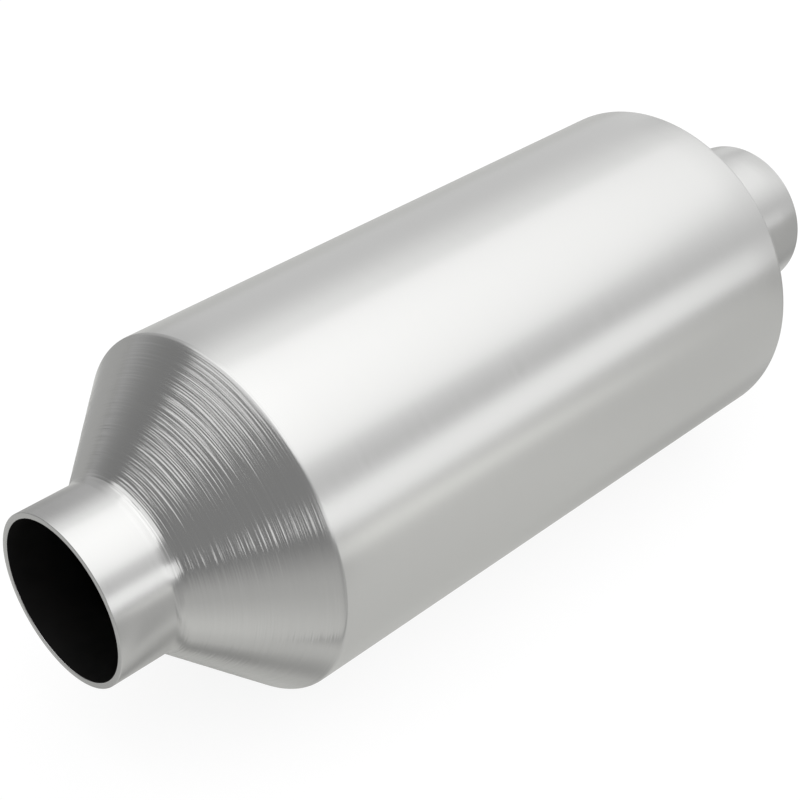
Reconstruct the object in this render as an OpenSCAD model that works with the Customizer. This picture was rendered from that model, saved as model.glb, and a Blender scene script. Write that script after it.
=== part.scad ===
// Catalytic converter with a one-piece spun housing.
// X runs with the gas, from the inlet mouth to the outlet mouth, and Z is up.
// The origin is the centre of the inlet mouth. Lengths are in millimetres.

/* [Housing] */
// Outer diameter of the straight body
body_d = 130.2; // [115:0.1:160]
// Length of the straight body, between the cones
body_l = 232; // [180:1:360]
// Length of each spun cone, along the axis
cone_l = 36.5; // [25:0.5:60]
// Sheet thickness in the straight body
sheet = 1.5; // [1:0.1:2.5]
// Bore of each neck, which the exhaust pipe slides into
neck_bore = 57.3; // [40:0.1:70]
// Length of each neck
neck_l = 24; // [15:1:60]
// Wall of the necks, which spinning has made thicker than the sheet
neck_wall = 2.1; // [1.6:0.1:3]
// Outside radius where the body turns into a cone
shoulder_r = 2; // [1:0.5:8]
// Outside radius where a cone turns into its neck
root_r = 8; // [2:0.5:12]
// Rounding of the rim's edges
rim_r = 0.5; // [0.2:0.1:0.7]

/* [Catalyst bricks] */
// Space between the shell and a brick, which the mat fills
mat_space = 4.4; // [3:0.1:8]
// Distance from the end of the straight body to the nearest brick
end_space = 8.4; // [4:0.1:20]
// Gap between the two bricks
mixing_gap = 12; // [5:1:30]
// Pitch of the honeycomb's square cells
cell_pitch = 6.35; // [5:0.05:12]
// Thickness of the honeycomb's walls
cell_wall = 0.9; // [0.5:0.1:1.5]
// Least thickness of the solid skin round the honeycomb
skin = 1.5; // [1:0.1:3]

/* [Mats and seals] */
// Running clearance that keeps mats and seals off the shell and the bricks
fit_gap = 0.1; // [0.05:0.01:0.2]
// Distance from a brick's end face to its edge seal
seal_inset = 3; // [1:0.5:8]
// Width of an edge seal along the axis
seal_w = 6; // [4:0.5:12]
// Rounding of an edge seal's section
seal_r = 1.2; // [0.5:0.1:1.2]
// Gap between an edge seal and the mat's edge
seal_gap = 0.3; // [0.1:0.1:1]
// Gap along the mat's seam
seam_gap = 0.8; // [0.5:0.1:2]
// Where the mat's seam starts, in degrees round the brick from the bottom
seam_turn = 130; // [90:5:150]
// Reach of the mat's tongue round the brick, in degrees
tongue_angle = 32; // [15:1:60]

/* [Hidden] */

$fn = 144;
arc_steps = 4;
// The tightest that the sheet's inside is bent
least_inner_r = 0.5;

body_r = body_d / 2;
bore_r = neck_bore / 2;
neck_r = bore_r + neck_wall;
body_start = neck_l + cone_l;
total_l = 2 * body_start + body_l;

// Half of the bend between a cone and the axis sets how far an inner corner
// lies behind the outer one, so that the cone's wall tapers from neck to body
half_bend = atan((body_r - neck_r) / cone_l) / 2;
neck_corner = neck_l + neck_wall * tan(half_bend);
body_corner = body_start + sheet * tan(half_bend);
inner_shoulder_r = max(shoulder_r - sheet, least_inner_r);
inner_root_r = root_r + neck_wall;

brick_r = body_r - sheet - mat_space;
brick_l = (body_l - mixing_gap) / 2 - end_space;
inlet_brick_x = body_start + end_space;
outlet_brick_x = inlet_brick_x + brick_l + mixing_gap;

// The mat and its seals fill the space between the brick and the shell
wrap_in_r = brick_r + fit_gap;
wrap_out_r = body_r - sheet - fit_gap;
mat_inset = seal_inset + seal_w + seal_gap;
mat_l = brick_l - 2 * mat_inset;
gap_angle = seam_gap / wrap_out_r * 180 / PI;

stainless = "#b9bbbd";
ceramic = "#c9b48c";
fibre = "#d8d2c2";
wire = "#8f9193";

function turned(p, angle) = [
    p.x * cos(angle) - p.y * sin(angle),
    p.x * sin(angle) + p.y * cos(angle)
];

// The arc of radius r that rounds corner b of the line a, b, c
function corner(a, b, c, r) =
    let (
        to_a = (a - b) / norm(a - b),
        to_c = (c - b) / norm(c - b),
        half = acos(to_a * to_c) / 2,
        side = sign(cross(b - a, c - b)),
        centre = b + (to_a + to_c) / norm(to_a + to_c) * r / sin(half),
        arm = b + to_a * r / tan(half) - centre
    )
    [
        for (i = [0:arc_steps])
            centre + turned(arm, side * (180 - 2 * half) * i / arc_steps)
    ];

// A closed outline with each corner rounded by its own radius
function rounded(points, radii) =
    let (n = len(points))
    [
        for (i = [0:n - 1])
            each corner(points[(i + n - 1) % n], points[i], points[(i + 1) % n], radii[i])
    ];

// One revolve round the X axis, of an outline given as [radius, x]
module turned_on_x() {
    rotate([0, 90, 0]) rotate_extrude() children();
}

// The wall's outline, out along the outside and back through the bore
module wall_section() {
    far_neck_l = total_l - neck_l;
    far_body_start = total_l - body_start;
    inner_r = body_r - sheet;
    polygon(rounded(
        [
            [neck_r, 0],
            [neck_r, neck_l],
            [body_r, body_start],
            [body_r, far_body_start],
            [neck_r, far_neck_l],
            [neck_r, total_l],
            [bore_r, total_l],
            [bore_r, total_l - neck_corner],
            [inner_r, total_l - body_corner],
            [inner_r, body_corner],
            [bore_r, neck_corner],
            [bore_r, 0],
        ],
        [
            rim_r, root_r, shoulder_r, shoulder_r, root_r, rim_r,
            rim_r, inner_root_r, inner_shoulder_r, inner_shoulder_r, inner_root_r, rim_r,
        ]
    ));
}

module spun_housing() {
    color(stainless) turned_on_x() wall_section();
}

// The square cells of one brick, cut off by its solid skin
module cells() {
    count = ceil(brick_r / cell_pitch);
    cell = cell_pitch - cell_wall;
    intersection() {
        circle(r = brick_r - skin);
        for (i = [-count:count], j = [-count:count])
            if (norm([i, j]) * cell_pitch < brick_r - skin - cell_wall)
                translate([i, j] * cell_pitch) square(cell, center = true);
    }
}

module monolith(x) {
    color(ceramic)
        translate([x, 0, 0])
            rotate([0, 90, 0])
                linear_extrude(brick_l)
                    difference() {
                        circle(r = brick_r);
                        cells();
                    }
}

// A slot right through the mat, over a length of it from z and a turn from angle
module slot(z, length, angle, turn) {
    rotate([0, 0, angle])
        rotate_extrude(angle = turn)
            translate([wrap_in_r - 1, z])
                square([wrap_out_r - wrap_in_r + 2, length]);
}

module slot_along(z, length, angle) {
    slot(z, length, angle - gap_angle / 2, gap_angle);
}

module slot_across(z) {
    slot(z - seam_gap / 2, seam_gap, 0, tongue_angle);
}

// The line where the wrap's ends meet: a tongue on one end, a third of the mat
// wide, lies in a groove in the other
module seam() {
    third = mat_l / 3;
    slot_along(-1, third + 1, 0);
    slot_across(third);
    slot_along(third, third, tongue_angle);
    slot_across(2 * third);
    slot_along(2 * third, third + 1, 0);
}

module mat(x) {
    color(fibre)
        translate([x + mat_inset, 0, 0])
            rotate([0, 90, 0])
                difference() {
                    linear_extrude(mat_l)
                        difference() {
                            circle(r = wrap_out_r);
                            circle(r = wrap_in_r);
                        }
                    rotate([0, 0, seam_turn]) seam();
                }
}

module edge_seal(x) {
    color(wire)
        turned_on_x()
            polygon(rounded(
                [
                    [wrap_in_r, x],
                    [wrap_out_r, x],
                    [wrap_out_r, x + seal_w],
                    [wrap_in_r, x + seal_w],
                ],
                [seal_r, seal_r, seal_r, seal_r]
            ));
}

module front_seal(brick_x) {
    edge_seal(brick_x + seal_inset);
}

module rear_seal(brick_x) {
    edge_seal(brick_x + brick_l - seal_inset - seal_w);
}

spun_housing();
monolith(inlet_brick_x);  // inlet_monolith
monolith(outlet_brick_x);  // outlet_monolith
mat(inlet_brick_x);  // inlet_mat
mat(outlet_brick_x);  // outlet_mat
front_seal(inlet_brick_x);  // inlet_mat_front_seal
rear_seal(inlet_brick_x);  // inlet_mat_rear_seal
front_seal(outlet_brick_x);  // outlet_mat_front_seal
rear_seal(outlet_brick_x);  // outlet_mat_rear_seal
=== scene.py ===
# Round catalytic converter: a spun stainless housing with two ceramic bricks in fibre mats.
# X runs with the gas from the inlet mouth, Z is up. Lengths in the dictionaries are millimetres.
import math

import bpy
from mathutils import Matrix, Vector, noise


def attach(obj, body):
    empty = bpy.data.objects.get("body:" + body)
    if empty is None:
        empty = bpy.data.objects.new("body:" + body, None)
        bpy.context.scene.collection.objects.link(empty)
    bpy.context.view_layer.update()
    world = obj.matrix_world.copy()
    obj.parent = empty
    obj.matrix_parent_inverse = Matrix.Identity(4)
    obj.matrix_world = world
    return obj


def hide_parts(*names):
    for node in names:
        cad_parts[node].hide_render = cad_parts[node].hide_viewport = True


mm = 0.001

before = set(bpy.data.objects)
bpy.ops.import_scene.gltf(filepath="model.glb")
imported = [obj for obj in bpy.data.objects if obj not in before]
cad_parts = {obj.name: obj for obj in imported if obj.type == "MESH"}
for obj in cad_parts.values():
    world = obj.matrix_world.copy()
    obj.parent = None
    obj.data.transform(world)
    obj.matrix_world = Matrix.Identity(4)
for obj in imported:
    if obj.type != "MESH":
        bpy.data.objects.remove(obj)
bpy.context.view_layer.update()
print("frame loaded:", len(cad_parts), "nodes")


# Modelling helpers

def deselectAll():
    if bpy.context.object and bpy.context.object.mode != "OBJECT":
        bpy.ops.object.mode_set(mode="OBJECT")
    bpy.ops.object.select_all(action="DESELECT")


def onlyActive(piece):
    deselectAll()
    piece.select_set(True)
    bpy.context.view_layer.objects.active = piece


def editAll(piece):
    onlyActive(piece)
    bpy.ops.object.mode_set(mode="EDIT")
    bpy.ops.mesh.select_all(action="SELECT")


def editFaces(piece, wanted):
    # into edit mode with only the faces that wanted() picks by place or normal
    onlyActive(piece)
    bpy.ops.object.mode_set(mode="EDIT")
    bpy.ops.mesh.select_mode(type="FACE")
    bpy.ops.mesh.select_all(action="DESELECT")
    bpy.ops.object.mode_set(mode="OBJECT")
    for face in piece.data.polygons:
        face.select = wanted(face)
    bpy.ops.object.mode_set(mode="EDIT")


def leaveEdit():
    bpy.ops.object.mode_set(mode="OBJECT")


def faceOutwards():
    # in edit mode, on the selected faces
    bpy.ops.mesh.normals_make_consistent(inside=False)


def joined(piece, other):
    onlyActive(piece)
    other.select_set(True)
    bpy.ops.object.join()
    return piece


def named(name):
    piece = bpy.context.object
    piece.name = piece.data.name = name
    return piece


def finishPiece(piece, node, material, smoothAngle=40):
    onlyActive(piece)
    bpy.ops.object.transform_apply(location=True, rotation=True, scale=True)
    bpy.ops.object.shade_smooth_by_angle(angle=math.radians(smoothAngle))
    if material is not None:
        piece.data.materials.clear()
        piece.data.materials.append(material)
    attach(piece, "root")
    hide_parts(node)
    print("made", piece.name, len(piece.data.polygons), "faces")


def roundedOutline(corners, arcSteps):
    # each corner is (x, radius from the axis, rounding); one arc of points for each corner
    arcs = []
    for i, (x, r, rounding) in enumerate(corners):
        here = Vector((x, r))
        toLast = (Vector(corners[i - 1][:2]) - here).normalized()
        toNext = (Vector(corners[(i + 1) % len(corners)][:2]) - here).normalized()
        half = toLast.angle(toNext) / 2
        centre = here + (toLast + toNext).normalized() * rounding / math.sin(half)
        arm = here + toLast * rounding / math.tan(half) - centre
        turn = math.copysign(math.pi - 2 * half, -toLast.cross(toNext))
        arcs.append([centre + Matrix.Rotation(turn * k / arcSteps, 2) @ arm for k in range(arcSteps + 1)])
    return arcs


def spinOutline(name, points, segments):
    # a circle's points are laid on the outline, and a Screw turns the loop once round the X axis
    deselectAll()
    bpy.ops.mesh.primitive_circle_add(vertices=len(points), radius=0.1)
    piece = named(name)
    for vertex, point in zip(piece.data.vertices, points):
        vertex.co = (point.x * mm, 0, point.y * mm)
    screw = piece.modifiers.new("Screw", "SCREW")
    screw.axis = "X"
    screw.steps = screw.render_steps = segments
    bpy.ops.object.modifier_apply(modifier=screw.name)
    editAll(piece)
    bpy.ops.mesh.remove_doubles(threshold=0.001 * mm)
    faceOutwards()
    leaveEdit()
    return piece


# Material helpers: nodes go into the tree that was made last

def addNode(kind, inputs=None, **settings):
    node = tree.nodes.new(kind)
    for name, value in settings.items():
        setattr(node, name, value)
    for socket, value in (inputs or {}).items():
        if isinstance(value, bpy.types.NodeSocket):
            tree.links.new(value, node.inputs[socket])
        else:
            node.inputs[socket].default_value = value
    return node


def patch(level, *bounds):
    # a level within bounds: each is a value and its soft edge, which is (start, end) where it rises from
    # 0 to 1, or (start, end, before, after)
    for value, edge in bounds:
        start, end, before, after = (tuple(edge) + (0.0, 1.0))[:4]
        bound = addNode("ShaderNodeMapRange", {
            "Value": value, "From Min": start, "From Max": end, "To Min": before, "To Max": after,
        }, interpolation_type="SMOOTHSTEP").outputs[0]
        level = addNode("ShaderNodeMath", {0: level, 1: bound}, operation="MULTIPLY").outputs[0]
    return level


def levelAlong(value, stops):
    # a level for each value, along straight lines between the stops
    low, high = stops[0][0], stops[-1][0]
    factor = addNode("ShaderNodeMapRange", {"Value": value, "From Min": low, "From Max": high}).outputs[0]
    rampNode = addNode("ShaderNodeValToRGB", {0: factor})
    elements = rampNode.color_ramp.elements
    for k, (at, level) in enumerate(stops):
        share = (at - low) / (high - low)
        stop = elements[k] if k < 2 else elements.new(share)
        stop.position = share
        stop.color = (level, level, level, 1)
    return rampNode.outputs[0]


def linear(hexColour):
    # sRGB hex to the linear colour that the shader sockets take
    parts = [int(hexColour[i:i + 2], 16) / 255 for i in (1, 3, 5)]
    return [c / 12.92 if c <= 0.04045 else ((c + 0.055) / 1.055) ** 2.4 for c in parts] + [1.0]


def newMaterial(name):
    material = bpy.data.materials.new(name)
    material.use_nodes = True
    return material, material.node_tree, material.node_tree.nodes["Principled BSDF"]


# Camera, where the photograph was taken from

cameraSetup = {
    "place": (-0.20915, -0.35863, 0.35474),  # metres
    "looks": (0.5803, 0.5817, -0.5700),
    "lens": 77.24,
}

deselectAll()
bpy.ops.object.camera_add(location=cameraSetup["place"])
camera = bpy.context.object
camera.rotation_euler = Vector(cameraSetup["looks"]).to_track_quat("-Z", "Y").to_euler()
camera.data.lens = cameraSetup["lens"]
camera.data.sensor_width = 36
camera.data.clip_start = 0.01
bpy.context.scene.camera = camera
print("camera placed")


# Spun housing: one tube, closed down at both ends into a cone and a neck

housing = {
    "bodyRadius": 65.1,
    "neckRadius": 30.75,
    "boreRadius": 28.65,
    "sheet": 1.5,
    "neckLength": 24.0,
    "coneLength": 36.5,
    "bodyLength": 232.0,
    "shoulderRound": 2.0,
    "leastInnerRound": 0.5,
    "rootRound": 8.0,
    "rimRound": 0.25,
    "segments": 150,
    "arcSteps": 6,
    "rootSteps": 26,
    "coneRow": 0.22,        # between the rows of points down a cone, fine enough for the grooves
    "neckRows": (19.4, 8),  # as close, before the root: the first one's place, how many
    "plainRow": 16.0,       # and elsewhere
    "plainRim": 2.0,        # from the mouth, left without grooves
    "grooveZone": (20.0, 25.0, 59.0, 61.5),     # along X: begins, full, full, ends
    "grooveCalm": (46.0, 58.0, 0.35),           # along X: from, to, share of the depth lost
    "grooveDepth": 0.05,
    "groovePitch": 0.44,    # along X, left by the roller at each turn
    "grooveLength": 30.0,   # round the cone, where its radius is the next value
    "grooveRadius": 50.0,
    # grooves in three sizes: finer along X, finer round, share, shift of the far end, shift aside
    "grooveLayers": ((1.7, 1.0, 1.0, 40, 0), (3.6, 2.2, 0.6, 70, 5), (0.35, 1.3, 0.6, 90, 3)),
    "scribedLines": (23.0, 24.4, 25.4, 26.4),   # where the roller was set down
    "scribeDepth": 0.055,
    "scribeWidth": 0.3,
    "inwardLean": 0.3,      # a face that looks inwards more than this is painted near black, for shade
}
bodyStart = housing["neckLength"] + housing["coneLength"]
totalLength = 2 * bodyStart + housing["bodyLength"]
shellInside = housing["bodyRadius"] - housing["sheet"]


# Spun stainless: a 400-series tube, belt-ground before its ends are rolled down. The eye sees a pale
# satin grey with soft-edged highlights, and hair-fine lines that run round the tube.

spunSteel = {
    "colours": ("#C3C3C2", "#C8C8C7"),
    "roughness": (0.23, 0.27),
    "coneRoughness": 0.16,     # the roller burnishes what it goes over
    "lineSpacing": 0.5,        # belt-grit lines, drawn about three times as coarse as 180 grit leaves
    "lineLength": 28.0,
    "lineDepth": 0.02,
    "lineStrength": 0.03,
    "coneLineSpacing": 0.36,
    "coneLineLength": 24.0,
    "coneLineDepth": 0.035,
    "coneLineStrength": 0.8,
    "coneBegins": (-0.5, 2.5),   # past the shoulder, where the finish changes
    "coneEnds": (0.5, 4.5),      # past the cone's end
}


def groundLines(spacing, length, detail, roughness):
    # noise drawn out round the tube
    scale = (1 / (spacing * mm), 1 / (length * mm), 1 / (length * mm))
    return addNode("ShaderNodeTexNoise", {
        "Vector": addNode("ShaderNodeMapping", {"Vector": place, "Scale": scale}).outputs[0],
        "Scale": 1.0, "Detail": detail, "Roughness": roughness,
    }).outputs[0]


spunStainless, tree, shader = newMaterial("spunStainless")
shader.inputs["Metallic"].default_value = 1.0
place = addNode("ShaderNodeTexCoord").outputs["Object"]
lines = groundLines(spunSteel["lineSpacing"], spunSteel["lineLength"], 3.0, 0.6)
coneLines = groundLines(spunSteel["coneLineSpacing"], spunSteel["coneLineLength"], 4.0, 0.65)
# how far along the part a point is from the middle says whether it lies on a cone
along = addNode("ShaderNodeSeparateXYZ", {0: place}).outputs[0]
pastMiddle = addNode("ShaderNodeMath", {0: along, 1: totalLength / 2 * mm}, operation="SUBTRACT").outputs[0]
fromMiddle = addNode("ShaderNodeMath", {0: pastMiddle}, operation="ABSOLUTE").outputs[0]
coneStart = housing["bodyLength"] / 2
coneEnd = coneStart + housing["coneLength"]
onCone = patch(1.0, (fromMiddle, [(coneStart + x) * mm for x in spunSteel["coneBegins"]]),
               (fromMiddle, [(coneEnd + x) * mm for x in spunSteel["coneEnds"]] + [1.0, 0.0]))
tree.links.new(addNode("ShaderNodeMix", {
    "Factor": lines, "A": linear(spunSteel["colours"][0]), "B": linear(spunSteel["colours"][1]),
}, data_type="RGBA").outputs["Result"], shader.inputs["Base Color"])
bodyRoughness = addNode("ShaderNodeMapRange", {
    "Value": lines, "From Min": 0.3, "From Max": 0.7,
    "To Min": spunSteel["roughness"][0], "To Max": spunSteel["roughness"][1],
}).outputs[0]
tree.links.new(addNode("ShaderNodeMix", {
    "Factor": onCone, "A": bodyRoughness, "B": spunSteel["coneRoughness"],
}).outputs[0], shader.inputs["Roughness"])
bodyBump = addNode("ShaderNodeBump", {
    "Height": lines, "Strength": spunSteel["lineStrength"], "Distance": spunSteel["lineDepth"] * mm})
coneHeight = addNode("ShaderNodeMath", {0: coneLines, 1: onCone}, operation="MULTIPLY").outputs[0]
coneBump = addNode("ShaderNodeBump", {
    "Height": coneHeight, "Strength": spunSteel["coneLineStrength"],
    "Distance": spunSteel["coneLineDepth"] * mm, "Normal": bodyBump.outputs[0],
})
tree.links.new(coneBump.outputs[0], shader.inputs["Normal"])


# Inside steel: painted near black for the shade deep in the bore, matt with a faint sheen

insideShade = {
    "colours": ("#040404", "#0F0E0D"),
    "patch": 9.0,
    "roughness": (0.4, 0.8),
}

paintedShadeInside, tree, shader = newMaterial("paintedShadeInside")
place = addNode("ShaderNodeTexCoord").outputs["Object"]
insideNoise = addNode("ShaderNodeTexNoise", {
    "Vector": place, "Scale": 1 / (insideShade["patch"] * mm), "Detail": 5.0, "Roughness": 0.6,
}).outputs[0]
tree.links.new(addNode("ShaderNodeMix", {
    "Factor": insideNoise, "A": linear(insideShade["colours"][0]), "B": linear(insideShade["colours"][1]),
}, data_type="RGBA").outputs["Result"], shader.inputs["Base Color"])
tree.links.new(addNode("ShaderNodeMapRange", {
    "Value": insideNoise, "To Min": insideShade["roughness"][0], "To Max": insideShade["roughness"][1],
}).outputs[0], shader.inputs["Roughness"])
shader.inputs["Metallic"].default_value = 0.0
shader.inputs["Specular IOR Level"].default_value = 0.2
print("steel ready")


def housingOutline():
    h = housing
    halfBend = math.atan2(h["bodyRadius"] - h["neckRadius"], h["coneLength"]) / 2
    neckWall = h["neckRadius"] - h["boreRadius"]
    neckCorner = h["neckLength"] + neckWall * math.tan(halfBend)
    bodyCorner = bodyStart + h["sheet"] * math.tan(halfBend)
    outside = [
        (0, h["neckRadius"], h["rimRound"]),
        (h["neckLength"], h["neckRadius"], h["rootRound"]),
        (bodyStart, h["bodyRadius"], h["shoulderRound"]),
    ]
    inside = [
        (bodyCorner, shellInside, max(h["shoulderRound"] - h["sheet"], h["leastInnerRound"])),
        (neckCorner, h["boreRadius"], h["rootRound"] + neckWall),
        (0, h["boreRadius"], h["rimRound"]),
    ]
    farOutside = [(totalLength - x, r, rounding) for x, r, rounding in reversed(outside)]
    farInside = [(totalLength - x, r, rounding) for x, r, rounding in reversed(inside)]
    arcs = roundedOutline(outside + farOutside + farInside + inside, h["arcSteps"])
    nearRim, nearRoot, farShoulder, farRoot = 0, 1, 3, 4   # by their place in the outline
    points = []
    for i, arc in enumerate(arcs):
        if i in (nearRoot, farRoot):   # in rows as close as the cones' own
            last = arcs[i - 1][-1].to_tuple() + (0,)
            following = arcs[i + 1][0].to_tuple() + (0,)
            arc = roundedOutline([last, (outside + farOutside)[i], following], h["rootSteps"])[1]
        points += arc
        start, end = arc[-1], arcs[(i + 1) % len(arcs)][0]
        onCone = i in (nearRoot, farShoulder)
        row = h["coneRow"] if onCone else h["plainRow"]
        count = math.ceil((end - start).length / row)
        stations = [k / count for k in range(1, count)]
        if i in (nearRim, farRoot):   # the two necks, with closer rows where grooves run onto them
            first, rows = h["neckRows"]
            near = [first + h["coneRow"] * k for k in range(rows)]
            near += [x + side * h["scribeWidth"] / 2 for x in h["scribedLines"] for side in (-1, 0, 1)]
            if i == farRoot:
                near = [totalLength - x for x in near]
            stations += [(x - start.x) / (end.x - start.x) for x in near]
        points += [start.lerp(end, k) for k in sorted(set(stations)) if 0 < k < 1]
    return points


def fadeIn(value, start, full):
    k = min(max((value - start) / (full - start), 0.0), 1.0)
    return k * k * (3 - 2 * k)


def grooveHeight(x, angle, end):
    # what the roller left at x from the mouth: rings close together, each coming and going round the cone
    h = housing
    starts, full, stays, ends = h["grooveZone"]
    calmFrom, calmTo, calm = h["grooveCalm"]
    window = fadeIn(x, starts, full) * (1 - fadeIn(x, stays, ends))
    window *= 1 - calm * fadeIn(x, calmFrom, calmTo)
    height = 0.0
    if window > 0:
        around = Vector((0, math.cos(angle), math.sin(angle))) * h["grooveRadius"] / h["grooveLength"]
        for finerAlong, finerRound, share, endShift, aside in h["grooveLayers"]:
            spot = Vector((x * finerAlong / h["groovePitch"] + endShift * end, aside, 0))
            height += window * h["grooveDepth"] * share * noise.noise(around * finerRound + spot)
    for lineX in h["scribedLines"]:
        height -= h["scribeDepth"] * max(0.0, 1 - abs(x - lineX) / (h["scribeWidth"] / 2))
    return height


spunHousing = spinOutline("spunHousing", housingOutline(), housing["segments"])
normals = [vertex.normal.copy() for vertex in spunHousing.data.vertices]
for vertex, normal in zip(spunHousing.data.vertices, normals):
    x = vertex.co.x / mm
    end = 0 if x < totalLength / 2 else 1
    fromMouth = totalLength - x if end else x
    outward = normal.y * vertex.co.y + normal.z * vertex.co.z
    if outward > 0 and housing["plainRim"] < fromMouth < housing["grooveZone"][3]:
        angle = math.atan2(vertex.co.z, vertex.co.y)
        vertex.co += normal * grooveHeight(fromMouth, angle, end) * mm
spunHousing.data.materials.append(spunStainless)
spunHousing.data.materials.append(paintedShadeInside)
# faces that look inwards take the inside steel, painted near black for the shade deep in the bore
for face in spunHousing.data.polygons:
    y, z = face.center.y, face.center.z
    inward = -(face.normal.y * y + face.normal.z * z)
    fromMouth = min(face.center.x / mm, totalLength - face.center.x / mm)
    if inward > housing["inwardLean"] * math.hypot(y, z) and fromMouth > housing["rimRound"]:
        face.material_index = 1
finishPiece(spunHousing, "spun_housing", None)


# Cordierite: extruded and fired ceramic with a catalyst washcoat, matt and chalky, sand to brown-grey

brick = {
    "matSpace": 4.4,     # between a brick and the shell
    "endSpace": 8.4,     # from the end of the straight body to the nearest brick
    "mixingGap": 12.0,   # between the two bricks
    "cellPitch": 1.27,   # 400 cells to the square inch
    "cellWall": 0.165,
    "cellMargin": 0.1,   # between a cell's corner and the outside, at the least
    "skin": 1.0,
    "skinSegments": 160,
    "colours": ("#A08A66", "#C3AE87"),
    "patch": 14.0,
    "grain": 0.25,
    "grainDepth": 0.03,
}
brickRadius = shellInside - brick["matSpace"]
brickLength = (housing["bodyLength"] - brick["mixingGap"]) / 2 - brick["endSpace"]
firstStart = bodyStart + brick["endSpace"]
brickStarts = (firstStart, firstStart + brickLength + brick["mixingGap"])

washcoatedCordierite, tree, shader = newMaterial("washcoatedCordierite")
place = addNode("ShaderNodeTexCoord").outputs["Object"]
patches = addNode("ShaderNodeTexNoise", {
    "Vector": place, "Scale": 1 / (brick["patch"] * mm), "Detail": 6.0, "Roughness": 0.65,
}).outputs[0]
tree.links.new(addNode("ShaderNodeMix", {
    "Factor": patches, "A": linear(brick["colours"][0]), "B": linear(brick["colours"][1]),
}, data_type="RGBA").outputs["Result"], shader.inputs["Base Color"])
shader.inputs["Roughness"].default_value = 0.85
shader.inputs["IOR"].default_value = 1.54
grain = addNode("ShaderNodeTexNoise", {
    "Vector": place, "Scale": 1 / (brick["grain"] * mm), "Detail": 3.0}).outputs[0]
tree.links.new(addNode("ShaderNodeBump", {
    "Height": grain, "Strength": 0.3, "Distance": brick["grainDepth"] * mm,
}).outputs[0], shader.inputs["Normal"])


def honeycombBrick(name, start):
    # a grid of square cells, each inset by half a wall and opened, pulled out to the brick's length
    b = brick
    count = 2 * math.ceil(brickRadius / b["cellPitch"])
    deselectAll()
    bpy.ops.mesh.primitive_grid_add(
        x_subdivisions=count, y_subdivisions=count, size=count * b["cellPitch"] * mm,
        location=(start * mm, 0, 0), rotation=(0, math.pi / 2, 0))
    piece = named(name)
    bpy.ops.object.transform_apply(location=True, rotation=True, scale=True)
    reach = (brickRadius - b["cellMargin"]) * mm
    corners = piece.data.vertices
    editFaces(piece, lambda face: any(
        math.hypot(corners[i].co.y, corners[i].co.z) > reach for i in face.vertices))
    bpy.ops.mesh.delete(type="FACE")
    bpy.ops.mesh.select_all(action="SELECT")
    bpy.ops.mesh.inset(thickness=b["cellWall"] / 2 * mm, use_individual=True)
    bpy.ops.mesh.delete(type="FACE")
    bpy.ops.mesh.select_all(action="SELECT")
    bpy.ops.mesh.extrude_region_move(TRANSFORM_OT_translate={"value": (brickLength * mm, 0, 0)})
    bpy.ops.mesh.select_all(action="SELECT")
    faceOutwards()
    leaveEdit()
    # the skin: an open cylinder given its thickness inwards
    deselectAll()
    bpy.ops.mesh.primitive_cylinder_add(
        vertices=b["skinSegments"], radius=brickRadius * mm, depth=brickLength * mm, end_fill_type="NOTHING",
        location=((start + brickLength / 2) * mm, 0, 0), rotation=(0, math.pi / 2, 0))
    skin = bpy.context.object
    bpy.ops.object.transform_apply(location=True, rotation=True, scale=True)
    modifier = skin.modifiers.new("Solidify", "SOLIDIFY")
    modifier.thickness = b["skin"] * mm
    modifier.offset = -1
    bpy.ops.object.modifier_apply(modifier=modifier.name)
    return joined(piece, skin)


for node, start in zip(("inlet_monolith", "outlet_monolith"), brickStarts):
    name = node.split("_")[0] + "Brick"
    finishPiece(honeycombBrick(name, start), node, washcoatedCordierite, 30)


# Intumescent mat: pressed ceramic fibre with mica flakes, off-white felt with small golden glints

fibreMat = {
    "clearance": 0.15,    # to the brick and to the shell
    "inset": 9.3,         # from the brick's face to the mat's edge, past the seal
    "seamTurn": 130,      # degrees round from the bottom
    "tongueAngle": 32,
    "seamGap": 0.8,
    "columnStep": 2,      # degrees between the columns of faces
    "rows": ((0, 0.22, 0.44, 0.72), (1.25, 1.5, 1.75), (2.28, 2.56, 2.78, 3)),   # in thirds of its length
    "edgeRound": 0.7,
    "unevenness": 0.12,
    "hollow": 7.0,        # across one hollow
    "colours": ("#CFC8B6", "#E4DFD2"),
    "feltGrain": 1.6,
    "feltDepth": 0.15,
    "mica": "#A98E55",
    "flakeSpacing": 2.4,
    "flakeEdge": (0.16, 0.22),
}

pressedFibre, tree, shader = newMaterial("pressedFibre")
place = addNode("ShaderNodeTexCoord").outputs["Object"]
felt = addNode("ShaderNodeTexNoise", {
    "Vector": place, "Scale": 1 / (fibreMat["feltGrain"] * mm),
    "Detail": 8.0, "Roughness": 0.75, "Distortion": 1.5,
}).outputs[0]
fibreColour = addNode("ShaderNodeMix", {
    "Factor": felt, "A": linear(fibreMat["colours"][0]), "B": linear(fibreMat["colours"][1]),
}, data_type="RGBA").outputs["Result"]
flakes = addNode("ShaderNodeTexVoronoi", {
    "Vector": place, "Scale": 1 / (fibreMat["flakeSpacing"] * mm)}).outputs["Distance"]
flakeMask = addNode("ShaderNodeMapRange", {
    "Value": flakes, "From Min": fibreMat["flakeEdge"][0], "From Max": fibreMat["flakeEdge"][1],
    "To Min": 1.0, "To Max": 0.0,
}).outputs[0]
tree.links.new(addNode("ShaderNodeMix", {
    "Factor": flakeMask, "A": fibreColour, "B": linear(fibreMat["mica"]),
}, data_type="RGBA").outputs["Result"], shader.inputs["Base Color"])
tree.links.new(addNode("ShaderNodeMapRange", {
    "Value": flakeMask, "To Min": 0.95, "To Max": 0.35,
}).outputs[0], shader.inputs["Roughness"])
shader.inputs["Sheen Weight"].default_value = 0.2
tree.links.new(addNode("ShaderNodeBump", {
    "Height": felt, "Strength": 0.6, "Distance": fibreMat["feltDepth"] * mm,
}).outputs[0], shader.inputs["Normal"])


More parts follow.
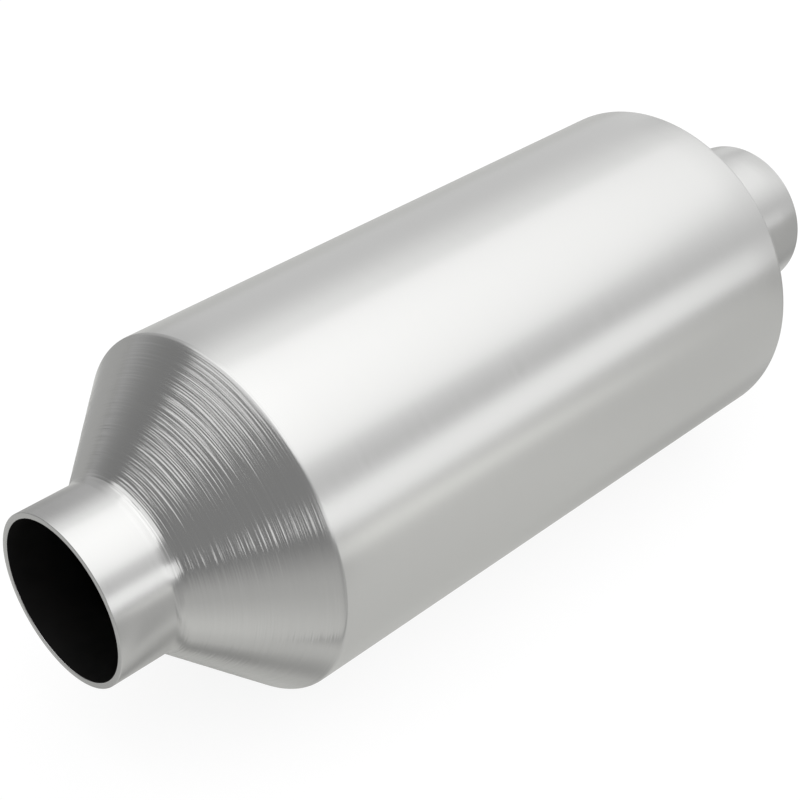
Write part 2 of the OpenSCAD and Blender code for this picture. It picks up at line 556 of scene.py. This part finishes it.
def wrappedMat(name, brickStart):
    # die-cut flat with a tongue at one end and a groove at the other, then wrapped once round the brick
    m = fibreMat
    inner, outer = brickRadius + m["clearance"], shellInside - m["clearance"]
    gap = math.degrees(m["seamGap"] / 2 / outer)
    step = m["columnStep"]
    seam, tongue = m["seamTurn"], m["seamTurn"] + m["tongueAngle"]
    columns = [seam + gap] + list(range(seam + step, tongue, step)) + [tongue - gap, tongue + gap]
    columns += list(range(tongue + step, seam + 360, step)) + [seam + 360 - gap, seam + 360 + gap]
    columns += list(range(seam + 360 + step, tongue + 360, step)) + [tongue + 360 - gap]
    third, cut = (brickLength - 2 * m["inset"]) / 3, m["seamGap"] / 2
    before, between, beyond = ([share * third for share in shares] for shares in m["rows"])
    rows = before + [third - cut, third + cut] + between + [2 * third - cut, 2 * third + cut] + beyond

    def isThere(angle, along):
        onTongueRows = third < along < 2 * third
        onCut = min(abs(along - third), abs(along - 2 * third)) < cut
        if onCut:
            return tongue + gap < angle < seam + 360 - gap
        if onTongueRows:
            return angle > tongue + gap
        return angle < seam + 360 - gap

    deselectAll()
    bpy.ops.mesh.primitive_grid_add(x_subdivisions=len(columns) - 1, y_subdivisions=len(rows) - 1, size=1)
    piece = named(name)
    flat = []
    for vertex in piece.data.vertices:
        column = columns[round((vertex.co.x + 0.5) * (len(columns) - 1))]
        row = rows[round((vertex.co.y + 0.5) * (len(rows) - 1))]
        flat.append((column, row))
    editFaces(piece, lambda face: not isThere(
        sum(flat[i][0] for i in face.vertices) / 4, sum(flat[i][1] for i in face.vertices) / 4))
    leaveEdit()
    for vertex, (turn, along) in zip(piece.data.vertices, flat):
        angle = math.radians(turn)
        x = brickStart + m["inset"] + along
        vertex.co = (x * mm, inner * math.sin(angle) * mm, -inner * math.cos(angle) * mm)
    bpy.ops.object.mode_set(mode="EDIT")
    bpy.ops.mesh.delete(type="FACE")
    bpy.ops.mesh.select_all(action="SELECT")
    faceOutwards()
    leaveEdit()
    face = piece.data.polygons[0]
    outwards = face.normal.y * face.center.y + face.normal.z * face.center.z > 0
    solidify = piece.modifiers.new("Solidify", "SOLIDIFY")
    solidify.thickness = (outer - inner) * mm
    solidify.offset = 1 if outwards else -1
    solidify.use_even_offset = True
    bevel = piece.modifiers.new("Bevel", "BEVEL")
    bevel.width = m["edgeRound"] * mm
    bevel.segments = 2
    bevel.limit_method = "ANGLE"
    bevel.angle_limit = math.radians(50)
    for modifier in ("Solidify", "Bevel"):
        bpy.ops.object.modifier_apply(modifier=modifier)
    editAll(piece)
    faceOutwards()
    leaveEdit()
    normals = [vertex.normal.copy() for vertex in piece.data.vertices]
    for vertex, normal in zip(piece.data.vertices, normals):
        # pressed unevenly, always inside the space that it fills
        depth = 0.5 + 0.5 * noise.noise(vertex.co / (m["hollow"] * mm))
        vertex.co -= normal * m["unevenness"] * depth * mm
    return piece


for node, start in zip(("inlet_mat", "outlet_mat"), brickStarts):
    name = node.split("_")[0] + "Mat"
    finishPiece(wrappedMat(name, start), node, pressedFibre, 50)


# Edge seal: knitted stainless wire rolled into a rope and pressed square, dull grey with bright crossings

edgeSeal = {
    "clearance": 0.1,    # to the brick and to the shell
    "width": 6.0,
    "inset": 3.0,        # from the brick's face to the seal
    "cornerRound": 1.2,
    "arcSteps": 4,
    "segments": 96,
    "wire": 0.26,
    "coreInset": 1.1,    # in wires, as are the next three: the core under the strands
    "strandInset": 1.05,
    "lift": 0.4,         # of a strand where it passes over another, and its dip under one
    "sink": 0.1,
    "strands": 7,        # in each direction
    "turns": 31,         # of one strand round the rope
    "pointsPerTurn": 10,
    "colours": ("#7D7C7A", "#A5A5A4"),
    "patch": 3.0,
}

knittedWire, tree, shader = newMaterial("knittedWire")
place = addNode("ShaderNodeTexCoord").outputs["Object"]
dulled = addNode("ShaderNodeTexNoise", {
    "Vector": place, "Scale": 1 / (edgeSeal["patch"] * mm), "Detail": 4.0,
}).outputs[0]
shader.inputs["Metallic"].default_value = 1.0
tree.links.new(addNode("ShaderNodeMix", {
    "Factor": dulled, "A": linear(edgeSeal["colours"][0]), "B": linear(edgeSeal["colours"][1]),
}, data_type="RGBA").outputs["Result"], shader.inputs["Base Color"])
tree.links.new(addNode("ShaderNodeMapRange", {
    "Value": dulled, "To Min": 0.28, "To Max": 0.5,
}).outputs[0], shader.inputs["Roughness"])


def squareRope(start, inset):
    e = edgeSeal
    low, high = brickRadius + e["clearance"] + inset, shellInside - e["clearance"] - inset
    near, far = start + inset, start + e["width"] - inset
    rounding = e["cornerRound"] - 0.5 * inset
    arcs = roundedOutline([(near, high, rounding), (far, high, rounding),
                           (far, low, rounding), (near, low, rounding)], e["arcSteps"])
    return [point for arc in arcs for point in arc]


def ropeSeal(name, start):
    e = edgeSeal
    rope = spinOutline(name, squareRope(start, e["coreInset"] * e["wire"]), e["segments"])
    # strands wound both ways round the core, each passing over and under the others
    path = squareRope(start, e["strandInset"] * e["wire"])
    lengths = [0.0]
    for a, b in zip(path, path[1:] + path[:1]):
        lengths.append(lengths[-1] + (b - a).length)
    middle = Vector((start + e["width"] / 2, (brickRadius + shellInside) / 2))

    def sectionPoint(share):
        wanted = (share % 1.0) * lengths[-1]
        k = max(i for i in range(len(path)) if lengths[i] <= wanted)
        step = lengths[k + 1] - lengths[k]
        return path[k].lerp(path[(k + 1) % len(path)], (wanted - lengths[k]) / step)

    curve = bpy.data.curves.new(name + "Wire", "CURVE")
    curve.dimensions = "3D"
    curve.bevel_depth = e["wire"] / 2 * mm
    curve.bevel_resolution = 0
    count = e["turns"] * e["pointsPerTurn"]
    for way in (-1, 1):
        for strand in range(e["strands"]):
            spline = curve.splines.new("POLY")
            spline.points.add(count - 1)
            spline.use_cyclic_u = True
            for k in range(count):
                around = math.tau * (k / count + strand / e["strands"] / e["turns"])
                section = sectionPoint(way * k / e["pointsPerTurn"])
                lift = way * e["lift"] * (-1) ** k - e["sink"]
                section = section + (section - middle).normalized() * lift * e["wire"]
                spline.points[k].co = (section.x * mm, section.y * math.sin(around) * mm,
                                       -section.y * math.cos(around) * mm, 1)
    wire = bpy.data.objects.new(name + "Wire", curve)
    bpy.context.collection.objects.link(wire)
    onlyActive(wire)
    bpy.ops.object.convert(target="MESH")
    return joined(rope, bpy.context.object)


for brickName, start in zip(("inlet", "outlet"), brickStarts):
    rearStart = start + brickLength - edgeSeal["inset"] - edgeSeal["width"]
    for side, sealStart in (("front", start + edgeSeal["inset"]), ("rear", rearStart)):
        name = brickName + "Mat" + side.capitalize() + "Seal"
        node = brickName + "_mat_" + side + "_seal"
        finishPiece(ropeSeal(name, sealStart), node, knittedWire, 60)


# Stage: an overhead softbox and two low strip lights; the floor and the walls follow

stage = {
    "floorDrop": 0.05,         # below the body's lowest line
    "floorSize": 16.0,         # metres, as are the lamps
    "softboxPlace": (0.6, -0.29, 1.0),
    "softboxSize": (1.8, 1.52),
    "softboxLevel": 0.43,
    # two strip lights end to end: place, size, rise in degrees towards the outlet end, level
    "strips": (((0.955, -1.0, 0.206), (0.81, 0.35), 4.5, 0.76),
               ((-0.25, -1.0, 0.224), (1.60, 0.31), 3.2, 0.82)),
}


def areaLamp(name, place, size, level, rotation):
    deselectAll()
    bpy.ops.object.light_add(type="AREA", location=place, rotation=rotation)
    lamp = bpy.context.object
    lamp.name = name
    lamp.data.shape = "RECTANGLE"
    lamp.data.size, lamp.data.size_y = size
    lamp.data.energy = level * math.pi * size[0] * size[1]   # level is the radiance that a mirror sees
    lamp.visible_camera = False


areaLamp("softbox", stage["softboxPlace"], stage["softboxSize"], stage["softboxLevel"], (0, 0, 0))
for name, (place, size, rise, level) in zip(("stripLight", "stripLightInlet"), stage["strips"]):
    areaLamp(name, place, size, level, (math.pi / 2, math.radians(-rise), 0))


# Floor: white to the camera; for the metal that mirrors it, it glows unevenly with painted light and shade,
# though it is no lamp. Places are metres from under the inlet's mouth, and levels are what a mirror shows.
# Edges are as patch() takes them. Heading is the way to a place from there: 1 along +X and 0 along +Y or -Y.

floorLight = {
    # painted bands of light and shade in front of the cone, which run nearly the way that its grooves smear
    # them: a little askew to that, to leave their edges ragged
    "acrossBands": (0.689, 0.729, 0),
    "bands": ((-0.8955, 0.0), (-0.5955, 0.02), (-0.2995, 0.16), (-0.1685, 0.30), (-0.1145, 0.34),
              (-0.0785, 0.44), (-0.0505, 0.56), (-0.0365, 0.585), (-0.0205, 0.51), (-0.013, 0.47),
              (-0.01, 0.34), (-0.005, 0.29), (-0.003, 0.22), (0.001, 0.22), (0.003, 0.30),
              (0.0065, 0.34), (0.0085, 0.46), (0.021, 0.49), (0.0271, 0.42)),
    "acrossSmear": (0.61, 0.79, 0),
    "alongSmear": (0.79, -0.61, 0),
    "neckAlong": (0.050, 0.058),       # painted shade where the neck meets the cone
    "neckAcross": (0.004, 0.012, 0.25, 0.0),
    "neckLevel": 0.41,
    "rootAlong": (0.075, 0.11, 0.0, 0.32),   # painted shade where only the root's rounding reflects it
    "rootHeading": (0.28, 0.40, 1.0, 0.0),
    "pastConeAlong": (0.075, 0.09),    # painted light past the cone
    "pastConeHeading": (0.28, 0.42),
    "pastConeSide": (0.38, 0.42),
    "pastConeAcross": (-0.045, -0.03, 1.0, 0.0),
    "pastConeLevel": 0.52,
    "pocketFrom": (0.37, 0.415),       # a pocket of painted shade that only the neck reflects
    "pocketTo": (0.50, 0.57, 1.0, 0.0),
    "pocketLevel": 0.17,
    "behindY": (-0.01, 0.05),          # painted levels behind the part, by heading
    "behind": ((-0.5, 0.03), (-0.3, 0.10), (-0.2, 0.17), (-0.11, 0.22), (0.0, 0.26), (0.3, 0.20),
               (0.36, 0.22), (0.43, 0.21), (0.50, 0.47), (0.56, 0.49), (0.9, 0.48)),
    "outletX": (0.22, 0.34, 1.0, 0.87),
    "pastBodyWay": (1.0, 0.9, 0),      # painted shade past the body, where only the far neck reflects it
    "pastBody": (0.30, 0.345),
    "pastBodyY": (-0.04, -0.02, 1.0, 0.0),
    "pastBodyDims": (0.0, 1.0, 1.0, 0.58),
    "apronX": (-0.02, 0.03, 0.28, 0.0),   # an apron of painted light behind the inlet, which the rim's face sees
    "apronReach": (0.15, 0.35, 1.0, 0.0),
    "shadeX": (0.12, 0.33, 0.0, 0.3),  # painted shadow of the body beside it, deeper towards the outlet
    "shadeFromY": (-0.072, -0.06),
    "shadeToY": (-0.05, -0.035, 1.0, 0.0),
    "poolY": (-0.40, -0.28, 0.6, 0.0),   # a painted pool of light in front of the strip lights
    "poolFromX": (0.18, 0.26),
    "poolToX": (0.46, 0.56, 1.0, 0.0),
    "metalSees": (1, 1, 0.965, 1),     # a warm white
    "cameraSees": 0.88,
    "paint": (0.8, 0.26, 0.14),        # as the other pieces, the metal and the camera see it
}

deselectAll()
floorHeight = -(housing["bodyRadius"] + stage["floorDrop"]) * mm
bpy.ops.mesh.primitive_plane_add(size=stage["floorSize"], location=(0, 0, floorHeight))
floor = named("studioFloor")
paleFloor = bpy.data.materials.new("paleFloor")
paleFloor.use_nodes = True
tree = paleFloor.node_tree
tree.nodes.clear()
f = floorLight
place = addNode("ShaderNodeTexCoord").outputs["Object"]
floorX, floorY, _ = addNode("ShaderNodeSeparateXYZ", {0: place}).outputs
fromMouth = addNode("ShaderNodeVectorMath", {0: place}, operation="LENGTH").outputs["Value"]
onward = addNode("ShaderNodeVectorMath", {0: place}, operation="NORMALIZE").outputs[0]
heading = addNode("ShaderNodeSeparateXYZ", {0: onward}).outputs[0]
acrossBands, across, along, pastBodyWay = (
    addNode("ShaderNodeVectorMath", {0: place, 1: f[way]}, operation="DOT_PRODUCT").outputs["Value"]
    for way in ("acrossBands", "acrossSmear", "alongSmear", "pastBodyWay"))

# painted light and shade on the floor, which only the metal sees
frontGlow = levelAlong(acrossBands, f["bands"])
# painted shade where the neck meets the cone, and where only the root reflects the floor
byNeck = patch(1.0, (along, f["neckAlong"]), (across, f["neckAcross"]))
frontGlow = addNode("ShaderNodeMix", {"Factor": byNeck, "A": frontGlow, "B": f["neckLevel"]}).outputs[0]
byRoot = patch(1.0, (along, f["rootAlong"]), (heading, f["rootHeading"]))
frontGlow = addNode("ShaderNodeMix", {"Factor": byRoot, "A": frontGlow, "B": 0.0}).outputs[0]
# painted light past the cone
aheadOfCone = patch(1.0, (along, f["pastConeAlong"]))
besideCone = patch(1.0, (across, f["pastConeAcross"]))
pastCone = addNode("ShaderNodeMath", {
    0: patch(aheadOfCone, (heading, f["pastConeHeading"])),
    1: patch(1.0, (heading, f["pastConeSide"]))}, operation="MAXIMUM").outputs[0]
beyond = addNode("ShaderNodeMath", {0: besideCone, 1: aheadOfCone}, operation="MAXIMUM").outputs[0]
pastCone = addNode("ShaderNodeMath", {0: pastCone, 1: beyond}, operation="MULTIPLY").outputs[0]
frontGlow = addNode("ShaderNodeMix", {
    "Factor": pastCone, "A": frontGlow, "B": f["pastConeLevel"]}).outputs[0]
# a pocket of painted shade that only the neck reflects
pocket = patch(besideCone, (heading, f["pocketFrom"]), (heading, f["pocketTo"]))
frontGlow = addNode("ShaderNodeMix", {"Factor": pocket, "A": frontGlow, "B": f["pocketLevel"]}).outputs[0]

behind = patch(1.0, (floorY, f["behindY"]))
roomGlow = addNode("ShaderNodeMix", {
    "Factor": behind, "A": frontGlow, "B": levelAlong(heading, f["behind"])}).outputs[0]
pastBody = patch(1.0, (pastBodyWay, f["pastBody"]), (floorY, f["pastBodyY"]))
roomGlow = patch(roomGlow, (floorX, f["outletX"]), (pastBody, f["pastBodyDims"]))
# an apron of painted light behind the inlet
apron = patch(behind, (floorX, f["apronX"]), (fromMouth, f["apronReach"]))
roomGlow = addNode("ShaderNodeMath", {0: roomGlow, 1: apron}, operation="ADD").outputs[0]
# painted shadow of the body on the floor
shade = patch(1.0, (floorX, f["shadeX"]), (floorY, f["shadeFromY"]), (floorY, f["shadeToY"]))
roomGlow = addNode("ShaderNodeMix", {"Factor": shade, "A": roomGlow, "B": 0.0}).outputs[0]
# painted pool of light on the floor
pool = patch(1.0, (floorY, f["poolY"]), (floorX, f["poolFromX"]), (floorX, f["poolToX"]))
roomGlow = addNode("ShaderNodeMath", {0: roomGlow, 1: pool}, operation="ADD").outputs[0]

ray = addNode("ShaderNodeLightPath").outputs
inMetal = ray["Is Glossy Ray"]
seen = addNode("ShaderNodeMath", {
    0: ray["Is Camera Ray"], 1: ray["Is Transmission Ray"]}, operation="MAXIMUM").outputs[0]
glow = addNode("ShaderNodeMath", {0: roomGlow, 1: inMetal}, operation="MULTIPLY").outputs[0]
glow = addNode("ShaderNodeMix", {"Factor": seen, "A": glow, "B": f["cameraSees"]}).outputs[0]
glowColour = addNode("ShaderNodeMix", {
    "Factor": inMetal, "A": (1, 1, 1, 1), "B": f["metalSees"]}, data_type="RGBA").outputs["Result"]
asOthers, asMetal, asCamera = f["paint"]
paint = addNode("ShaderNodeMix", {"Factor": inMetal, "A": asOthers, "B": asMetal}).outputs[0]
paint = addNode("ShaderNodeMix", {"Factor": seen, "A": paint, "B": asCamera}).outputs[0]
shine = addNode("ShaderNodeEmission", {"Color": glowColour, "Strength": glow}).outputs[0]
matt = addNode("ShaderNodeBsdfDiffuse", {"Color": paint}).outputs[0]
both = addNode("ShaderNodeAddShader", {0: shine, 1: matt}).outputs[0]
addNode("ShaderNodeOutputMaterial", {"Surface": both})
floor.data.materials.append(paleFloor)


# Walls and ceiling: levels and edges as on the floor, by direction. Turns are degrees round the X axis,
# with 0 along +Y, 90 up and 180 along -Y.

studioWalls = {
    # the far wall by X: bright past the body and dimmer past the neck
    "far": ((0.0, 0.60), (0.3, 0.565), (0.43, 0.54), (0.48, 0.89), (0.55, 0.87), (0.63, 0.84),
            (0.75, 0.87), (0.8, 0.86)),
    "farNeckX": (0.741, 0.748),        # only the far neck reflects what lies past here: a low bright wall
    "farNeckZ": (0.26, 0.33, 0.13, -0.23),
    # what the cone sees of it, darkening up a slope
    "coneUp": (-0.5, 0, 1),
    "cone": ((-0.3, 0.61), (-0.1, 0.585), (0.02, 0.53), (0.12, 0.475), (0.24, 0.41), (0.36, 0.355),
             (0.50, 0.32), (0.65, 0.30)),
    "coneX": (-0.35, 0.25),
    # the near wall by X, which also fills what lies overhead
    "near": ((-0.9, 0.32), (-0.8, 0.325), (-0.65, 0.35), (-0.42, 0.43), (-0.13, 0.56), (0.16, 0.68),
             (0.40, 0.78), (0.50, 0.87), (0.745, 0.86), (0.757, 0.83), (0.9, 0.83)),
    "nearZ": (0.5, 0.9),
    "nearY": (-0.3, 0.1, 1.0, 0.0),
    # between softbox and strip lights it is dimmer along the body than along the neck
    "nearDims": ((0.42, 0.0), (0.54, 0.13), (0.66, 0.14), (0.70, 0.10), (0.74, 0.03)),
    "nearDimsTurn": (142, 152),
    # what spills past the softbox onto the ceiling, by turn and by X
    "spill": ((26, 0), (34, 0.09), (40, 0.30), (43, 0.33), (51.5, 0.705), (57, 0.66), (64, 0.57),
              (77, 0.585), (89, 0.645), (102, 0.615), (115, 0.5475), (128, 0.45), (141, 0.18), (150, 0)),
    "spillX": ((0.4, 0.90), (0.54, 0.667), (0.66, 0.447), (0.71, 0.43), (0.745, 0.51), (0.757, 0.57),
               (0.8, 0.57)),
    "spillAhead": (-0.5, 0.0),
    "spillNeckTurn": (51, 60, 1.0, 0.0),
    "spillNeckX": (0.44, 0.52, 0.27, 0.0),
    # the softbox's inlet end, whose slanted edge the cone only just fails to reflect
    "boxEndLevel": 0.86,
    "boxEndFrom": (37, 44),
    "boxEndTo": (122, 140, 1.0, 0.0),
    "boxEndSlants": (0.2, -0.1),       # on the +Y side and on the -Y side
    "boxEndEdge": (-1.285, -1.09),
    "boxEndAhead": (-0.35, 0.0, 1.0, 0.0),
}

world = bpy.data.worlds.new("studio")
bpy.context.scene.world = world
world.use_nodes = True
tree = world.node_tree
tree.nodes.clear()
w = studioWalls
direction = addNode("ShaderNodeTexCoord").outputs["Generated"]
dx, dy, dz = addNode("ShaderNodeSeparateXYZ", {0: direction}).outputs
radians = addNode("ShaderNodeMath", {0: dz, 1: dy}, operation="ARCTAN2").outputs[0]
turn = addNode("ShaderNodeMath", {0: radians}, operation="DEGREES").outputs[0]
ahead = addNode("ShaderNodeMath", {0: dx, 1: dz}, operation="DIVIDE").outputs[0]
aside = addNode("ShaderNodeMath", {0: dy, 1: dz}, operation="DIVIDE").outputs[0]
upCone = addNode("ShaderNodeVectorMath", {
    0: direction, 1: w["coneUp"]}, operation="DOT_PRODUCT").outputs["Value"]

farNeckWall = patch(1.0, (dz, w["farNeckZ"]), (dx, w["farNeckX"]))
farWall = addNode("ShaderNodeMath", {
    0: levelAlong(dx, w["far"]), 1: farNeckWall}, operation="ADD").outputs[0]
farWall = addNode("ShaderNodeMix", {
    "Factor": patch(1.0, (dx, w["coneX"])), "A": levelAlong(upCone, w["cone"]), "B": farWall}).outputs[0]
dimmed = patch(levelAlong(dx, w["nearDims"]), (turn, w["nearDimsTurn"]))
nearWall = addNode("ShaderNodeMath", {
    0: levelAlong(dx, w["near"]), 1: dimmed}, operation="SUBTRACT").outputs[0]
nearOrAbove = addNode("ShaderNodeMath", {
    0: patch(1.0, (dz, w["nearZ"])), 1: patch(1.0, (dy, w["nearY"]))}, operation="MAXIMUM").outputs[0]
walls = addNode("ShaderNodeMix", {"Factor": nearOrAbove, "A": farWall, "B": nearWall}).outputs[0]

ceiling = addNode("ShaderNodeMath", {
    0: levelAlong(turn, w["spill"]), 1: levelAlong(dx, w["spillX"])}, operation="MULTIPLY").outputs[0]
ceiling = addNode("ShaderNodeMix", {
    "Factor": patch(1.0, (turn, w["spillNeckTurn"]), (dx, w["spillNeckX"])),
    "A": patch(ceiling, (ahead, w["spillAhead"])), "B": 0.0}).outputs[0]

farSlant, nearSlant = (
    addNode("ShaderNodeMath", {0: aside, 1: share}, operation="MULTIPLY").outputs[0]
    for share in w["boxEndSlants"])
slant = addNode("ShaderNodeMath", {0: farSlant, 1: nearSlant}, operation="MAXIMUM").outputs[0]
slanted = addNode("ShaderNodeMath", {0: ahead, 1: slant}, operation="SUBTRACT").outputs[0]
boxEnd = patch(w["boxEndLevel"], (turn, w["boxEndFrom"]), (turn, w["boxEndTo"]),
               (slanted, w["boxEndEdge"]), (ahead, w["boxEndAhead"]))

overhead = addNode("ShaderNodeMath", {0: ceiling, 1: boxEnd}, operation="ADD").outputs[0]
strength = addNode("ShaderNodeMath", {0: walls, 1: overhead}, operation="ADD").outputs[0]
ray = addNode("ShaderNodeLightPath").outputs
seen = addNode("ShaderNodeMath", {
    0: ray["Is Camera Ray"], 1: ray["Is Transmission Ray"]}, operation="MAXIMUM").outputs[0]
strength = addNode("ShaderNodeMix", {"Factor": seen, "A": strength, "B": 1.0}).outputs[0]
background = addNode("ShaderNodeBackground", {"Color": (1, 1, 1, 1), "Strength": strength}).outputs[0]
addNode("ShaderNodeOutputWorld", {"Surface": background})
print("stage set")

bpy.context.scene.view_settings.view_transform = "Standard"

deselectAll()
